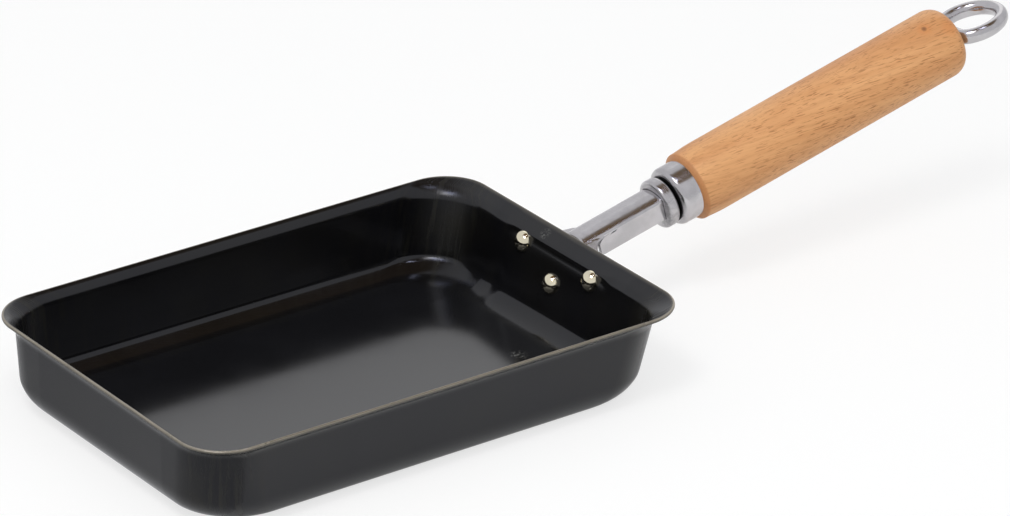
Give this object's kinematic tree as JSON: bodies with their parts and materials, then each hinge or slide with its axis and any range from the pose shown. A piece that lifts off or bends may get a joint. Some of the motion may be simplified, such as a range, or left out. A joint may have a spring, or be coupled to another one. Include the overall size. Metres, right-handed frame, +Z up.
{
  "type": "tamagoyaki pan",
  "caption": "Rectangular rolled-omelette pan of blackened steel with a flared rim, a riveted plated bracket, a turned wooden handle and a hanging eye.",
  "frame": {"origin": "middle of the pan's flat underside, below the middle of its rim", "axes": "+X along the pan towards the handle, +Y across the pan, +Z up"},
  "size_m": [0.3574, 0.13, 0.0716],
  "materials": {
    "blackened_steel": "semi-gloss baked-on black over pressed sheet steel",
    "rivet_metal": "bright nickel plate, slightly warm",
    "plated_steel": "bright chrome plate over pressed and turned steel",
    "nut_metal": "dull zinc plate",
    "beech_wood": "satin clear lacquer on turned beech"
  },
  "bodies": {
    "root": {"pan_body": "blackened_steel", "rivet_left": "rivet_metal", "rivet_right": "rivet_metal", "rivet_lower": "rivet_metal", "handle_bracket": "plated_steel", "collar": "plated_steel", "tie_nut": "nut_metal", "ferrule": "plated_steel", "wood_handle": "beech_wood", "hanging_eye": "plated_steel"}
  },
  "joints": []
}
